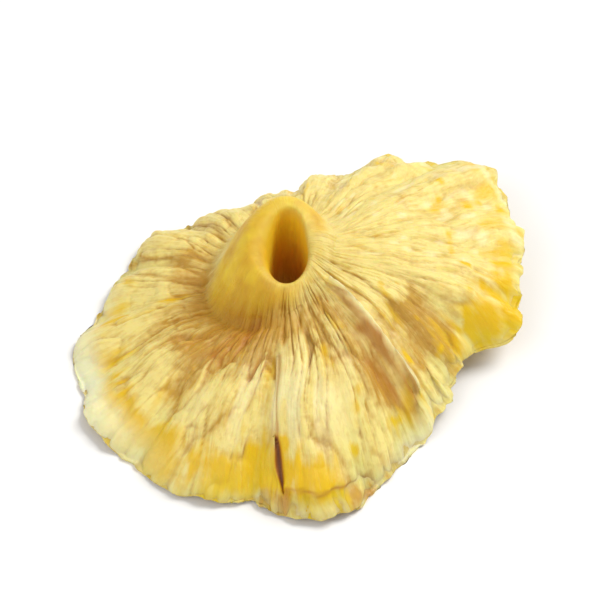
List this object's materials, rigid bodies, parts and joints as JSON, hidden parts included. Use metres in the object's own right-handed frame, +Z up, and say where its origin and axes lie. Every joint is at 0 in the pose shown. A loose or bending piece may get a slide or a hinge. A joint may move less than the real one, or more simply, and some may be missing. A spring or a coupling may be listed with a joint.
{
  "type": "dried pineapple ring",
  "caption": "Slice of dried pineapple: a thin ring of ribbed flesh with a lobed wavy rim, domed up to a raised core with a hole through it.",
  "frame": {"origin": "on the table, under the middle of the slice's bounding box", "axes": "+Z up through the hole of the core, -Y to the front with the long lobes, +X to the right where the rim stands clear of the table"},
  "size_m": [0.0716, 0.0708, 0.0224],
  "materials": {
    "dried_pineapple": "dried fruit flesh: pale cream fibres over translucent golden yellow, waxy at the core, ochre in the creases"
  },
  "bodies": {
    "root": {"pineapple_slice": "dried_pineapple"}
  },
  "joints": []
}
